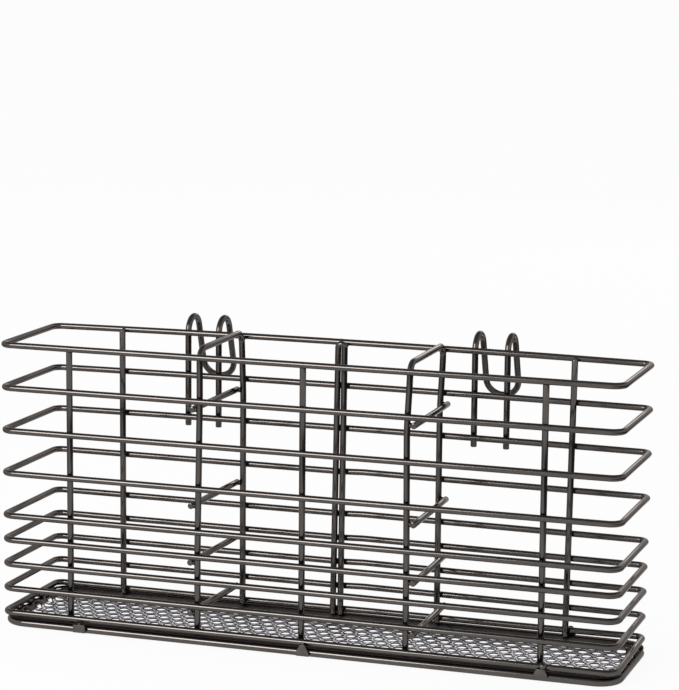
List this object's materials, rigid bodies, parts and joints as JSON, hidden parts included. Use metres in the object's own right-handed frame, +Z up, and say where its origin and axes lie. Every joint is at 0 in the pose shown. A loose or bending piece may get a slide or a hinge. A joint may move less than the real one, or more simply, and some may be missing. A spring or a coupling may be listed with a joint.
{
  "type": "utensil drying rack",
  "caption": "Wire utensil rack: stacked rectangular wire hoops over a shallow perforated drip tray, divided into compartments, with double hooks at the back for hanging.",
  "frame": {"origin": "middle of the footprint, hooks included, on the surface that the rack stands on", "axes": "+X along the rack's width, +Y from the front to the back where the hooks are, +Z up"},
  "size_m": [0.253, 0.0766, 0.1211],
  "materials": {
    "plated_wire": "polished dark nickel plating on round steel wire, gunmetal grey-brown",
    "perforated_sheet": "semi-gloss dark plated steel sheet, a little lighter than the wire",
    "weld_tab": "dull dark plating on small pressed steel tabs"
  },
  "bodies": {
    "root": {"hoop_1": "plated_wire", "hoop_2": "plated_wire", "hoop_3": "plated_wire", "hoop_4": "plated_wire", "hoop_5": "plated_wire", "hoop_6": "plated_wire", "hoop_7": "plated_wire", "hoop_8": "plated_wire", "hoop_9": "plated_wire", "base_ring": "plated_wire", "perforated_tray": "perforated_sheet", "front_tab_left": "weld_tab", "front_tab_centre": "weld_tab", "front_tab_right": "weld_tab", "back_tab_left": "weld_tab", "back_tab_centre": "weld_tab", "back_tab_right": "weld_tab", "front_upright_left": "plated_wire", "front_upright_centre": "plated_wire", "front_upright_right": "plated_wire", "back_upright_left": "plated_wire", "back_upright_centre": "plated_wire", "back_upright_right": "plated_wire", "divider_left": "plated_wire", "divider_left_rung_1": "plated_wire", "divider_left_rung_2": "plated_wire", "divider_left_rung_3": "plated_wire", "divider_left_rung_4": "plated_wire", "divider_right": "plated_wire", "divider_right_rung_1": "plated_wire", "divider_right_rung_2": "plated_wire", "divider_right_rung_3": "plated_wire", "divider_right_rung_4": "plated_wire", "hook_left": "plated_wire", "hook_right": "plated_wire"}
  },
  "joints": []
}
